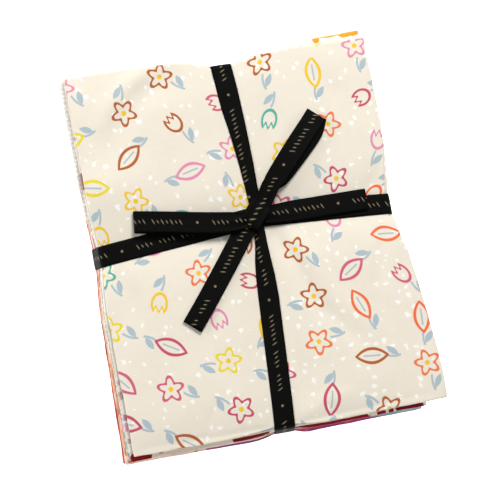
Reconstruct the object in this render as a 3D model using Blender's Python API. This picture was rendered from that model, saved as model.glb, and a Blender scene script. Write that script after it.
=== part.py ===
"""A fat quarter bundle: folded quilting-cotton fat quarters, stacked and tied crosswise with one narrow ribbon.

Each fat quarter is folded in half and then in thirds, and is one solid: the back-and-forth section of its
three double layers, run from front to back. X runs across the bundle, Y from its front edge to its back edge
and Z up. Sizes are in millimetres, from the middle of the flat stack; at the end the whole bundle is moved so
that the origin lies on the table under the middle of its outline.
"""

import math

import bpy
from mathutils import Vector

MM = 0.001

# The folded fat quarter: 18 by 22 inches of cloth, 22 folded in thirds across X and 18 in half along Y.
FOLDED_WIDTH = 186.0
FOLDED_LENGTH = 229.0
LAYER = 0.62  # one double layer of cotton
LAYER_GAP = 0.30
PIECE_GAP = 0.38
LAYERS = 3
TURN_STEPS = 4
CUT_END_INSET = 1.4  # a cut end stops short of the fold beside it

# The ribbon, half an inch wide.
RIBBON_WIDTH = 12.7
RIBBON_THICK = 1.0
RIBBON_CLEAR = 0.38
RIBBON_SIDE = 7.2  # from the ribbon's middle line to the grid lines that carry it

# Where the ribbon's inner faces stand at the four edges that it is pulled over.
PULLED = {"left": -91.1, "right": 89.8, "front": -113.9, "back": 110.7}

# The ribbon's middle lines in plan. The lengthwise one leans on its way down the front, and the cross one on
# its way down the left: these pairs are their places at the foot and on top.
KNOT = (6.4, 14.5)
LENGTHWISE_X = {"front": (5.4, -0.9), "knot": KNOT[0], "back": 0.8}
CROSS_Y = {"left": (9.5, 4.2), "knot": KNOT[1], "right": 9.2}

# The grid that every piece shares, so that no layer cuts into the next.
LEFT, RIGHT = -FOLDED_WIDTH / 2, FOLDED_WIDTH / 2
FRONT, BACK = -FOLDED_LENGTH / 2, FOLDED_LENGTH / 2
QUARTER_X = (-30.0, 42.0)
QUARTER_Y = (-22.0, 50.0)
KINDS = ("edge", "quarter", "ribbon", "ribbon", "quarter", "edge")

# How far the top stands above (+) or below (-) the flat stack, by the two kinds of grid line that meet.
TOP_RISE = {
    ("edge", "edge"): -1.6,
    ("edge", "quarter"): -0.8,
    ("quarter", "quarter"): 0.7,
    ("quarter", "ribbon"): -2.0,
    ("edge", "ribbon"): -4.0,
    ("ribbon", "ribbon"): -3.2,
}

# How far each piece lies out (+) or in (-) at its four sides, how far it is turned, how far its front
# right corner is splayed and its back right edge slipped out, from the bottom piece to the top one.
PIECE_COLUMNS = ("left", "right", "front", "back", "turn", "splay", "slip", "colour")
PIECES = (
    (0.4, -3.0, 1.5, -0.6, 0.6, 0.0, 0.0, "#B4C6D2"),
    (1.6, -2.4, 1.2, -1.2, 1.5, 0.0, 0.0, "#D2473C"),
    (1.0, -3.3, 2.1, 0.2, 1.3, 0.0, 0.0, "#A8407A"),
    (0.5, -2.1, 1.0, -0.8, 1.2, 0.0, 0.0, "#E89AA8"),
    (1.2, -2.7, 1.4, -1.5, 1.4, 0.0, 0.0, "#E8B48A"),
    (0.6, -2.2, 0.9, 0.1, 1.2, 0.0, 0.0, "#F1E4CB"),
    (1.1, -2.8, 1.5, -0.9, 1.1, 0.0, 0.0, "#F26A3D"),
    (0.4, -1.7, 0.8, -0.3, 1.0, 0.0, 0.0, "#6E2C3F"),
    (1.0, -2.4, 1.4, -1.1, 1.0, 0.0, 0.0, "#5DB5A5"),
    (0.5, -1.4, 0.9, 0.3, 0.8, 0.3, 0.0, "#D0506E"),
    (0.3, -1.5, 2.3, -0.7, 0.7, 0.8, 0.0, "#8C0A12"),
    (2.7, -2.0, 0.9, 0.4, -0.8, 1.2, 0.4, "#E9E0D2"),
    (1.0, -1.6, 0.8, 3.5, -0.1, 2.8, 3.0, "#F3EEE6"),
    (0.6, 1.5, 1.5, 1.7, -0.2, 7.0, 0.0, "#F3EBDD"),
)
SPLAY_SHARE = (1.0, 0.33, 0.0, 0.0, 0.0, 0.0)  # of the splay, by grid row from the front
SLIP_SHARE = (0.0, 0.0, 0.0, 0.0, 0.45, 1.0)  # of the slip, by grid column from the left
SPLAY_LIFT = 0.45  # how far the front edge swings back at the right, as a share of the splay

PIECE_HEIGHT = LAYERS * LAYER + (LAYERS - 1) * LAYER_GAP
PITCH = PIECE_HEIGHT + PIECE_GAP
STACK_HEIGHT = len(PIECES) * PITCH - PIECE_GAP
TURN_RADIUS = LAYER + LAYER_GAP / 2

CLOTH_ROUGHNESS = 0.9
RIBBON_COLOUR = "#131517"
RIBBON_ROUGHNESS = 0.6
CORNER_CUT = 0.25  # off the inner corners of the pulled ribbon
# Where the cross ribbon climbs over the lengthwise one: (way, reach from the knot, share of the climb).
CLIMB = ((-1, 17.0, 0), (-1, 7.4, 1), (1, 7.4, 1), (1, 17.0, 0))
UP = Vector((0, 0, 1))

# The knot: a pillow of wrapped ribbon with drawn-in foot and crown.
KNOT_SIZE = (13.6, 13.0)
KNOT_ANGLE = 48.0
KNOT_FOOT = 3.1  # above the cloth, over both ribbons
KNOT_RINGS = ((0.0, 0.80), (0.7, 0.95), (2.4, 1.0), (4.2, 0.93), (5.0, 0.70))  # (height, size)
KNOT_SIDES = 20
KNOT_SQUARENESS = 3.2

# The bow's two loops. along is the way out from the knot, aside a shift to the left of it, rise the lower
# layer's height above the cloth, gap the clear height inside, and fan the lower layer's shift to the right.
LOOP_COLUMNS = ("along", "aside", "rise", "gap", "width", "fan")
LEFT_LOOP_ANGLE = 174.0
LEFT_LOOP = (
    (7.9, 0.4, 4.5, 1.1, 8.6, 0.0),
    (15.0, 0.9, 4.1, 1.9, 10.6, 0.0),
    (25.0, 1.3, 2.4, 3.0, 12.0, 0.0),
    (36.6, 1.0, 1.9, 3.3, 12.7, 0.0),
    (58.0, 0.2, 1.6, 2.5, 12.7, 0.0),
    (73.0, -0.2, 1.2, 1.3, 12.7, 0.0),
)
RIGHT_LOOP_ANGLE = 50.0
RIGHT_LOOP = (
    (7.2, 0.6, 4.5, 1.1, 8.6, 0.0),
    (15.0, 0.5, 4.3, 1.7, 10.4, 0.6),
    (26.0, 0.4, 2.5, 3.0, 12.2, 2.2),
    (42.0, 0.2, 1.6, 3.4, 12.7, 3.6),
    (60.0, 0.1, 1.4, 2.4, 12.7, 3.2),
    (72.6, 0.0, 1.2, 1.3, 12.7, 0.6),
)

# The two free ends, in the same terms.
TAIL_COLUMNS = ("along", "aside", "rise", "width")
LOWER_TAIL_ANGLE = 229.6
LOWER_TAIL = (
    (7.0, 0.0, 3.1, 8.6),
    (14.0, 0.2, 3.1, 10.6),
    (24.0, 0.4, 2.1, 12.4),
    (40.0, 0.5, 1.2, 12.7),
    (60.0, 0.3, 1.2, 12.7),
    (78.2, 0.0, 1.2, 12.7),
)
RIGHT_TAIL_ANGLE = 0.0
RIGHT_TAIL = (
    (7.6, 0.0, 3.1, 8.6),
    (14.0, 0.0, 3.1, 10.8),
    (23.0, -0.1, 2.0, 12.6),
    (35.6, -0.2, 1.85, 12.7),
    (68.6, -0.2, 1.85, 12.7),
)


def clear_scene():
    for old in list(bpy.data.objects):
        bpy.data.objects.remove(old)


def named(columns, rows):
    return [dict(zip(columns, row)) for row in rows]


def linear(hex_colour):
    """A hex sRGB colour as linear RGBA."""
    parts = [int(hex_colour[i : i + 2], 16) / 255 for i in (1, 3, 5)]
    return [p / 12.92 if p <= 0.04045 else ((p + 0.055) / 1.055) ** 2.4 for p in parts] + [1.0]


def cloth_material(name, hex_colour, roughness):
    material = bpy.data.materials.new(name)
    material.use_nodes = True
    shader = material.node_tree.nodes["Principled BSDF"]
    shader.inputs["Base Color"].default_value = linear(hex_colour)
    shader.inputs["Roughness"].default_value = roughness
    shader.inputs["Metallic"].default_value = 0.0
    return material


def add_solid(name, points, triangles, hex_colour, roughness):
    mesh = bpy.data.meshes.new(name)
    mesh.from_pydata([Vector(p) * MM for p in points], [], triangles)
    mesh.materials.append(cloth_material(name, hex_colour, roughness))
    solid = bpy.data.objects.new(name, mesh)
    bpy.context.scene.collection.objects.link(solid)
    return solid


def between(at, places, values):
    """The value at a place on straight runs between values, carried straight on past both ends."""
    i = 0
    while i < len(places) - 2 and at > places[i + 1]:
        i += 1
    share = (at - places[i]) / (places[i + 1] - places[i])
    return values[i] + share * (values[i + 1] - values[i])


# The shared grid


def lengthwise_x(y, up=1.0):
    """The lengthwise ribbon's middle line, for up from 0 under the stack to 1 on top of it."""
    front = between(up, (0, 1), LENGTHWISE_X["front"])
    return between(y, (FRONT, KNOT[1], BACK), (front, LENGTHWISE_X["knot"], LENGTHWISE_X["back"]))


def cross_y(x, up=1.0):
    """The cross ribbon's middle line, in the same way."""
    left = between(up, (0, 1), CROSS_Y["left"])
    return between(x, (LEFT, KNOT[0], RIGHT), (left, CROSS_Y["knot"], CROSS_Y["right"]))


def column_places(y, up):
    middle = lengthwise_x(y, up)
    return (LEFT, QUARTER_X[0], middle - RIBBON_SIDE, middle + RIBBON_SIDE, QUARTER_X[1], RIGHT)


def row_places(x, up):
    middle = cross_y(x, up)
    return (FRONT, QUARTER_Y[0], middle - RIBBON_SIDE, middle + RIBBON_SIDE, QUARTER_Y[1], BACK)


def grid_point(column, row, up=1.0):
    """Where a column and a row cross: two steps settle the slight slant of both."""
    x, y = column_places(KNOT[1], up)[column], row_places(KNOT[0], up)[row]
    for _ in range(2):
        x, y = column_places(y, up)[column], row_places(x, up)[row]
    return x, y


def top_rise(column_kind, row_kind):
    return TOP_RISE[tuple(sorted((column_kind, row_kind)))]


def under_lift(column_kind, row_kind):
    """The underside clears the ribbon below it, twice over where the two ribbons cross."""
    crossed = (column_kind == "ribbon") + (row_kind == "ribbon")
    return crossed * (RIBBON_THICK + RIBBON_CLEAR)


def on_grid(value, x, y, up):
    """value(column kind, row kind), blended over the grid to the place (x, y)."""
    per_row = [between(x, column_places(y, up), [value(c, r) for c in KINDS]) for r in KINDS]
    return between(y, row_places(x, up), per_row)


def cloth_top(x, y, up=1.0):
    return STACK_HEIGHT + on_grid(top_rise, x, y, up)


def squeezed(x, y, height):
    """A height in the flat, even stack, brought between the tied stack's underside and top."""
    up = height / STACK_HEIGHT
    low, high = on_grid(under_lift, x, y, up), cloth_top(x, y, up)
    return low + (high - low) * up


# The folded fat quarters


def side_ends(piece, row, y):
    """The piece's left and right folds at a grid row."""
    turned = piece["turn"] * y / BACK
    if KINDS[row] == "ribbon":
        return PULLED["left"] + RIBBON_CLEAR, PULLED["right"] - RIBBON_CLEAR
    right = RIGHT + piece["right"] + turned + piece["splay"] * SPLAY_SHARE[row]
    return LEFT - piece["left"] + turned, right


def front_and_back(piece, column, x):
    """The piece's front and back edges at a grid column."""
    turned = piece["turn"] * x / RIGHT
    if KINDS[column] == "ribbon":
        return PULLED["front"] + RIBBON_CLEAR, PULLED["back"] - RIBBON_CLEAR
    lifted = SPLAY_LIFT * piece["splay"] * max(x / RIGHT, 0.0)
    back = BACK + piece["back"] + turned + piece["slip"] * SLIP_SHARE[column]
    return FRONT - piece["front"] + turned + lifted, back


def fold_section():
    """The back-and-forth section: stations of (column, two points of (shift in x, height)).

    The first points run along the side that starts at the bottom, the second along the other side.
    """
    stations = []
    last = len(KINDS) - 1
    for layer in range(LAYERS):
        low = layer * (LAYER + LAYER_GAP)
        high = low + LAYER
        rightward = layer % 2 == 0
        heights = (low, high) if rightward else (high, low)
        columns = range(last + 1) if rightward else range(last, -1, -1)
        for column in columns:
            cut_end = (layer == 0 and column == 0) or (layer == LAYERS - 1 and column == last)
            inset = 0.0
            if column in (0, last):
                inset = CUT_END_INSET if cut_end else TURN_RADIUS
            shift = inset if column == 0 else -inset
            stations.append((column, (shift, heights[0]), (shift, heights[1])))
        if layer == LAYERS - 1:
            break
        way = 1 if rightward else -1
        radii = (TURN_RADIUS, LAYER_GAP / 2) if rightward else (LAYER_GAP / 2, TURN_RADIUS)
        middle = high + LAYER_GAP / 2
        for step in range(1, TURN_STEPS):
            angle = math.pi * (step / TURN_STEPS - 0.5)
            pair = [
                (way * (r * math.cos(angle) - TURN_RADIUS), middle + r * math.sin(angle))
                for r in radii
            ]
            stations.append((last if rightward else 0, pair[0], pair[1]))
    return stations


def place(piece, base, column, row, shift, height):
    """A point of the section at a grid row, moved out to the piece's own edges and squeezed by the tie."""
    x, y = grid_point(column, row, (base + height) / STACK_HEIGHT)
    last = len(KINDS) - 1
    if column in (0, last):
        x = side_ends(piece, row, y)[0 if column == 0 else 1] + shift
    if row in (0, last):
        y = front_and_back(piece, column, x)[0 if row == 0 else 1]
    return x, y, squeezed(x, y, base + height)


def fat_quarter(name, piece, base):
    section = fold_section()
    rows = len(KINDS)
    points = [
        place(piece, base, column, row, *side)
        for row in range(rows)
        for column, *sides in section
        for side in sides
    ]

    def corner(station, side, row):
        return (row * len(section) + station) * 2 + side

    def quad(a, b, c, d):
        """Two triangles that share the diagonal from a to c."""
        triangles.extend(((a, b, c), (a, c, d)))

    triangles = []
    for i in range(len(section) - 1):
        rightward = section[i + 1][0] > section[i][0]
        for row in range(rows - 1):
            for side in (0, 1):
                a, b = corner(i, side, row), corner(i + 1, side, row)
                c, d = corner(i + 1, side, row + 1), corner(i, side, row + 1)
                # The diagonal always rises to the right, seen from above, so stacked layers match.
                if rightward:
                    quad(*((a, d, c, b) if side == 0 else (a, b, c, d)))
                else:
                    quad(*((b, a, d, c) if side == 0 else (b, c, d, a)))
        for row, flip in ((0, False), (rows - 1, True)):
            a, b = corner(i, 0, row), corner(i + 1, 0, row)
            c, d = corner(i + 1, 1, row), corner(i, 1, row)
            quad(*((d, c, b, a) if flip else (a, b, c, d)))
    first, end = 0, len(section) - 1
    for row in range(rows - 1):
        low, high = corner(first, 0, row), corner(first, 1, row)
        quad(low, high, corner(first, 1, row + 1), corner(first, 0, row + 1))
        low, high = corner(end, 0, row), corner(end, 1, row)
        quad(corner(end, 0, row + 1), corner(end, 1, row + 1), high, low)
    return add_solid(name, points, triangles, piece["colour"], CLOTH_ROUGHNESS)


# The ribbon


def strip(name, stations, closed=False):
    """A flat ribbon through stations of (middle of one face, half-width vector, thickness vector)."""
    points = [
        point
        for middle, half, thick in stations
        for point in (middle - half, middle + half, middle + half + thick, middle - half + thick)
    ]
    middle, half, thick = stations[0]
    ahead = stations[1][0] - middle
    outward = half.cross(thick).dot(ahead) > 0
    triangles = []

    def quad(*corners):
        a, b, c, d = corners if outward else corners[::-1]
        triangles.extend(((a, b, c), (a, c, d)))

    count = len(stations)
    for i in range(count if closed else count - 1):
        near, far = 4 * i, 4 * ((i + 1) % count)
        for side in range(4):
            beside = (side + 1) % 4
            quad(near + side, near + beside, far + beside, far + side)
    if not closed:
        quad(3, 2, 1, 0)
        last = 4 * (count - 1)
        quad(last, last + 1, last + 2, last + 3)
    return add_solid(name, points, triangles, RIBBON_COLOUR, RIBBON_ROUGHNESS)


def ring_path(start, end, top, under):
    """The inner face of a ribbon pulled round the stack, as (distance along, height), from start to end
    over the top and back below. top and under hold the runs' own points between the two corners."""
    cut = CORNER_CUT
    (_, start_top), (_, end_top) = top[0], top[-1]
    (_, end_under), (_, start_under) = under[0], under[-1]
    over = [(start, start_top - cut), (start + cut, start_top), *top[1:-1], (end - cut, end_top)]
    down = [(end, end_top - cut), (end, end_under + cut), (end - cut, end_under)]
    return over + down + [*under[1:-1], (start + cut, start_under), (start, start_under + cut)]


def leaning(height):
    """0 at the ribbon's foot and 1 where it comes over the stack's edge."""
    return min(max(height / (STACK_HEIGHT + top_rise("edge", "ribbon")), 0.0), 1.0)


def ring(name, path, to_world, half):
    """A closed ribbon round the stack. to_world turns (distance along, height) into a point."""
    stations = []
    count = len(path)
    for i in range(count):
        here, before, after = (Vector(path[j % count]) for j in (i, i - 1, i + 1))
        normals = [Vector((-way.y, way.x)).normalized() for way in (here - before, after - here)]
        mitred = (normals[0] + normals[1]) / (1 + normals[0].dot(normals[1])) * RIBBON_THICK
        inner, outer = to_world(*here), to_world(*(here + mitred))
        outer -= half * (outer - inner).dot(half) / half.length_squared
        stations.append((inner, half, outer - inner))
    return strip(name, stations, closed=True)


def lengthwise_ribbon():
    def point(y, height):
        return Vector((lengthwise_x(y, leaning(height)), y, height))

    rows = [grid_point(2, row)[1] for row in (1, 2, 3, 4)]
    places = [PULLED["front"], *rows, PULLED["back"]]
    top = [(y, cloth_top(lengthwise_x(y), y) + RIBBON_CLEAR) for y in places]
    under = [(y, RIBBON_THICK) for y in (PULLED["back"], KNOT[1], PULLED["front"])]
    path = ring_path(PULLED["front"], PULLED["back"], top, under)
    return ring("ribbon_lengthwise", path, point, Vector((RIBBON_WIDTH / 2, 0, 0)))


def cross_ribbon():
    """This ribbon climbs over the lengthwise one on top, and over it again below the stack."""

    def point(x, height):
        return Vector((x, cross_y(x, leaning(height)), height))

    climb = RIBBON_THICK + RIBBON_CLEAR
    crossing = [(KNOT[0] + way * reach, lift) for way, reach, lift in CLIMB]
    places = [(PULLED["left"], 0), (QUARTER_X[0], 0), *crossing, (QUARTER_X[1], 0), (PULLED["right"], 0)]
    top = [(x, cloth_top(x, cross_y(x)) + RIBBON_CLEAR + lift * climb) for x, lift in places]
    ends = [(PULLED["right"], 0), *crossing[::-1], (PULLED["left"], 0)]
    under = [(x, RIBBON_THICK + lift * climb) for x, lift in ends]
    path = ring_path(PULLED["left"], PULLED["right"], top, under)
    return ring("ribbon_cross", path, point, Vector((0, RIBBON_WIDTH / 2, 0)))


# The bow


def knot():
    points = []
    for height, size in KNOT_RINGS:
        for i in range(KNOT_SIDES):
            angle = 2 * math.pi * i / KNOT_SIDES
            c, s = math.cos(angle), math.sin(angle)
            reach = (abs(c) ** KNOT_SQUARENESS + abs(s) ** KNOT_SQUARENESS) ** (-1 / KNOT_SQUARENESS)
            across, along = (size * reach * w * t / 2 for w, t in zip(KNOT_SIZE, (c, s)))
            turn = math.radians(KNOT_ANGLE)
            x = KNOT[0] + across * math.cos(turn) - along * math.sin(turn)
            y = KNOT[1] + across * math.sin(turn) + along * math.cos(turn)
            points.append((x, y, cloth_top(*KNOT) + KNOT_FOOT + height))
    sides, rings = KNOT_SIDES, len(KNOT_RINGS)
    triangles = []
    for ring_number in range(rings - 1):
        for i in range(sides):
            a, b = ring_number * sides + i, ring_number * sides + (i + 1) % sides
            triangles.extend(((a, b, b + sides), (a, b + sides, a + sides)))
    top = (rings - 1) * sides
    for i in range(1, sides - 1):
        triangles.extend(((0, i + 1, i), (top, top + i, top + i + 1)))
    return add_solid("bow_knot", points, triangles, RIBBON_COLOUR, RIBBON_ROUGHNESS)


def headings(angle):
    """The way out from the knot, and the way to the left of it."""
    turn = math.radians(angle)
    way = Vector((math.cos(turn), math.sin(turn), 0))
    return way, Vector((-way.y, way.x, 0))


def tail(name, angle, rows):
    way, left = headings(angle)
    stations = []
    for row in named(TAIL_COLUMNS, rows):
        spot = Vector((*KNOT, 0)) + way * row["along"] + left * row["aside"]
        spot.z = cloth_top(spot.x, spot.y) + row["rise"]
        stations.append((spot, left * row["width"] / 2, UP * RIBBON_THICK))
    return strip(name, stations)


def loop(name, angle, rows):
    """A flattened loop: the lower layer goes out, turns up at the end, and comes back above itself."""
    way, left = headings(angle)
    lower, upper = [], []
    for row in named(LOOP_COLUMNS, rows):
        half = left * row["width"] / 2
        spot = Vector((*KNOT, 0)) + way * row["along"] + left * row["aside"]
        foot = spot - left * row["fan"]
        foot.z = cloth_top(spot.x, spot.y) + row["rise"]
        lower.append((foot + UP * RIBBON_THICK, half, -UP * RIBBON_THICK))
        spot.z = foot.z + RIBBON_THICK + row["gap"]
        upper.append((spot, half, UP * RIBBON_THICK))
    (below, half, _), (above, _, _) = lower[-1], upper[-1]
    turn = []
    for step in range(1, TURN_STEPS):
        angle_up = math.pi * (step / TURN_STEPS - 0.5)
        outward = way * math.cos(angle_up) + UP * math.sin(angle_up)
        middle = below.lerp(above, step / TURN_STEPS)
        middle.z = (below.z + above.z) / 2
        turn.append((middle + outward * (above.z - below.z) / 2, half, outward * RIBBON_THICK))
    return strip(name, lower + turn + upper[::-1])


def centre_over_origin(solids):
    """Moves the whole bundle so that its outline in plan is centred over the origin."""
    corners = [vertex.co for solid in solids for vertex in solid.data.vertices]
    middle = [(min(c[i] for c in corners) + max(c[i] for c in corners)) / 2 for i in (0, 1)]
    for solid in solids:
        solid.location = (-middle[0], -middle[1], 0)


def main():
    clear_scene()
    solids = [
        fat_quarter(f"fat_quarter_{i + 1:02d}", piece, i * PITCH)
        for i, piece in enumerate(named(PIECE_COLUMNS, PIECES))
    ]
    solids += [lengthwise_ribbon(), cross_ribbon(), knot()]
    solids += [
        loop("bow_loop_left", LEFT_LOOP_ANGLE, LEFT_LOOP),
        loop("bow_loop_right", RIGHT_LOOP_ANGLE, RIGHT_LOOP),
        tail("bow_tail_lower", LOWER_TAIL_ANGLE, LOWER_TAIL),
        tail("bow_tail_right", RIGHT_TAIL_ANGLE, RIGHT_TAIL),
    ]
    centre_over_origin(solids)


main()
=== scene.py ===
"""The looks of a fat quarter bundle: folded quilting cottons, tied crosswise with one black ribbon.

Places are in millimetres from the middle of the flat stack, with X across the bundle, Y from its front edge
to its back edge and Z up from the table. add_mesh moves them to the bundle's own frame, in metres.
"""

import ast
import math

import bpy
import numpy as np
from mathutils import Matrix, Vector


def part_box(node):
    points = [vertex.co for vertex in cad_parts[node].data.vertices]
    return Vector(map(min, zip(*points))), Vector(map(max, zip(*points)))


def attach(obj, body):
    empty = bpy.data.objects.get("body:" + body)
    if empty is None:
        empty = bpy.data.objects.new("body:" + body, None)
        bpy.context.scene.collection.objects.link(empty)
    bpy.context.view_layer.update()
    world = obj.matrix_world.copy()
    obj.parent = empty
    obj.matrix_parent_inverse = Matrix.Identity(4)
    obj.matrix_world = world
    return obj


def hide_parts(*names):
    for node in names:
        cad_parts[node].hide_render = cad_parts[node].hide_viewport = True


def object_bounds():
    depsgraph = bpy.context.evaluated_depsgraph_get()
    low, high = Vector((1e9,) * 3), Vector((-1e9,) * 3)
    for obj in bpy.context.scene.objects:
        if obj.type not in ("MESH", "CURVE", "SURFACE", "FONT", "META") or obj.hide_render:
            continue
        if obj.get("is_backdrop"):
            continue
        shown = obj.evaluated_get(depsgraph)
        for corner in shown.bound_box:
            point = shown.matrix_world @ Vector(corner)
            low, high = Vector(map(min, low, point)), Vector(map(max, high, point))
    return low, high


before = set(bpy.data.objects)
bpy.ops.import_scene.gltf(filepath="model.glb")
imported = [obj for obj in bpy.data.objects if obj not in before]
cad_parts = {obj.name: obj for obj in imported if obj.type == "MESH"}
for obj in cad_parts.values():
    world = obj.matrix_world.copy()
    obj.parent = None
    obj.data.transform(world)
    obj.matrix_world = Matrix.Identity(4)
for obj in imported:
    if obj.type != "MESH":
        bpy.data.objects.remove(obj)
CAD_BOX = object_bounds()

MM = 0.001
UP = np.array([0.0, 0.0, 1.0])

# Each fat quarter is 18 by 22 inches of cotton, with 22 folded in thirds across X and 18 in half along Y.
FOLDED_WIDTH = 186.0
FOLDED_LENGTH = 229.0
LEFT, RIGHT = -FOLDED_WIDTH / 2, FOLDED_WIDTH / 2
FRONT, BACK = -FOLDED_LENGTH / 2, FOLDED_LENGTH / 2
THIRDS = 3

# One double layer of cotton: two plies, their middles a little more than a ply apart.
LAYER = 0.62
LAYER_GAP = 0.30
PIECE_GAP = 0.38
PLY = 0.26
PLY_SPACING = 0.34
LAYER_PITCH = LAYER + LAYER_GAP
PITCH = THIRDS * LAYER + (THIRDS - 1) * LAYER_GAP + PIECE_GAP

# The ribbon, half an inch wide.
RIBBON_WIDTH = 12.7
RIBBON_PLY = 0.42
SOLID_RIBBON = 1.0  # the ribbon's thickness in the solids
RIBBON_LIFT = 0.15  # clear of the cloth below it
RIBBON_FOOT = RIBBON_PLY / 2 + 0.12  # the height of its middle below the stack
RIBBON_OUT = RIBBON_PLY / 2 + 0.04  # the distance of its middle from the walls' own line

# Where the pulled ribbon's inner faces stand, and its middle lines in plan.
PULLED = {"left": -91.1, "right": 89.8, "front": -113.9, "back": 110.7}
KNOT = (6.4, 14.5)
# At the front edge, the knot and the back edge, and at the left edge, the knot and the right edge: first
# under the stack and then on top of it, as the ribbon leans on its way down the front and the left.
LENGTHWISE_X = ((5.4, KNOT[0], 0.8), (0.0, 7.4, 1.7))
CROSS_Y = ((9.5, KNOT[1], 9.2), (5.3, KNOT[1], 9.7))

# The flat stack's middle in the bundle's own frame, from where the solids' ribbons stand.
STACK_PLACE = np.array(
    [
        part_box("ribbon_cross")[0].x / MM - PULLED["left"] + SOLID_RIBBON,
        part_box("ribbon_lengthwise")[0].y / MM - PULLED["front"] + SOLID_RIBBON,
        0.0,
    ]
)

# How far the tie draws an edge in: the reach to either side of the ribbon, towards minus and towards plus.
PULL_REACH = {"left": (30.0, 34.0), "right": (27.0, 50.0), "front": (12.0, 10.0), "back": (24.0, 38.0)}
FRONT_SPREAD = 3.2  # how much wider the reach is at the front of the top piece
SPREAD_POWER = 4  # and how fast that is lost below it
PULL_FLAT = 5.0
PULL_POWER = 1.5
CORNER_TOP = 3.4  # the radius that the pulled ribbon gives the stack's upper corners
CORNER_UNDER = 2.2

# How far the top stands above (+) or below (-) the flat stack, and how far the underside is lifted, from the
# edge to the open pad to the ribbon both ways.
TOP_RISE = np.array([[-1.6, -0.8, -4.0], [-0.8, 0.7, -2.0], [-4.0, -2.0, -3.2]])
UNDER_LIFT = np.array([[0.0, 0.0, 0.9], [0.0, 0.0, 0.9], [0.9, 0.9, 1.6]])
PRESS_FLAT = 5.6  # to either side of the ribbon's middle line
PRESS_REACH = 27.0
PRESS_POWER = 2.2
EDGE_REACH = 26.0
EDGE_POWER = 2.0

# From the bottom piece to the top one: how far it lies out (+) or in (-) at its left, right and front, the
# front edge's skew, how far it lies out at the back, how far it is turned, how far its front right corner
# is splayed and its back right edge slipped out, and its cloth.
PIECE_COLUMNS = ("left", "right", "front", "skew", "back", "turn", "splay", "slip", "cloth")
PIECES = (
    (-0.1, -3.0, 1.3, 0.2, -0.6, 1.1, 1.5, 0.0, "blue_grey"),
    (1.0, -2.4, 0.9, 1.2, -1.2, 2.1, 0.0, 0.0, "salmon_red"),
    (0.7, -3.3, 2.6, 0.4, 0.2, 1.6, 4.2, 0.0, "magenta"),
    (0.5, -2.1, 1.0, 1.2, -0.8, 1.2, 0.0, 0.0, "pink"),
    (1.2, -2.7, 1.4, 1.4, -1.5, 1.4, 0.0, 0.0, "peach"),
    (0.6, -2.2, 0.9, 1.2, 0.1, 1.2, 0.0, 0.0, "cream_rings"),
    (1.1, -2.8, 1.2, 1.6, -0.9, 1.1, 0.0, 0.0, "orange"),
    (0.4, -2.2, 0.8, 1.0, -0.3, 1.0, 0.0, 0.0, "plum"),
    (1.0, -2.8, 1.4, 1.0, -1.1, 1.0, 0.0, 0.0, "teal"),
    (0.5, -2.8, 0.9, 0.8, 0.3, 0.8, 0.3, 0.0, "crimson_pink"),
    (0.3, -3.6, 1.9, 1.2, -0.7, 0.7, 1.4, 0.0, "dark_red"),
    (2.9, -3.6, -1.3, -0.3, 0.4, -1.3, 1.2, 0.4, "pale_dots"),
    (1.9, -1.6, -1.0, -0.1, 2.7, -0.1, 2.8, 3.8, "white_patches"),
    (0.6, 1.5, 1.5, -0.2, 1.7, -0.9, 7.0, 0.0, "cream_print"),
)
STACK_HEIGHT = len(PIECES) * PITCH - PIECE_GAP
SPLAY_START, SPLAY_REACH = -14.0, 90.0  # the splay grows from here towards the front
SPLAY_LIFT = 0.45  # how far the front edge swings back at the right, as a share of the splay
SLIP_START, SLIP_REACH = -5.0, 95.0  # the slip grows from here towards the right
SLIP_POWER = 1.2

# How unevenly each cloth is folded: how far a fold may lie in from the piece's edge, how far the cut sides
# and the cut ends at the back stop short of it, and the heights of the waves in the three kinds of edge.
FOLD_SLACK = 0.7
CUT_SIDE_INSET = (0.9, 2.0)
CUT_BACK_INSET = 0.3
PLY_STEP = 0.5  # how much shorter the second ply is cut
WAVE_LENGTH = 70.0
SIDE_WAVE, FOLD_WAVE, BACK_WAVE = 0.22, 0.25, 0.30
FRONT_SHIFT, BACK_SHIFT, PLY_SHIFT = 40.0, 30.0, 15.0  # so that no two layers or plies wave alike

# The finest and the coarsest step of a cloth's grid, across and along. The top layer is finer than the rest.
LAYER_GRID = {"across": (1.6, 7.0), "along": (1.6, 8.0)}
TOP_GRID = {"across": (1.0, 2.2), "along": (0.8, 2.4)}
GRID_GROWTH = 0.22  # how fast the steps grow away from an edge or the ribbon
THIRDS_FOLD_STEPS = 6
HALF_FOLD_STEPS = 5

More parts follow.
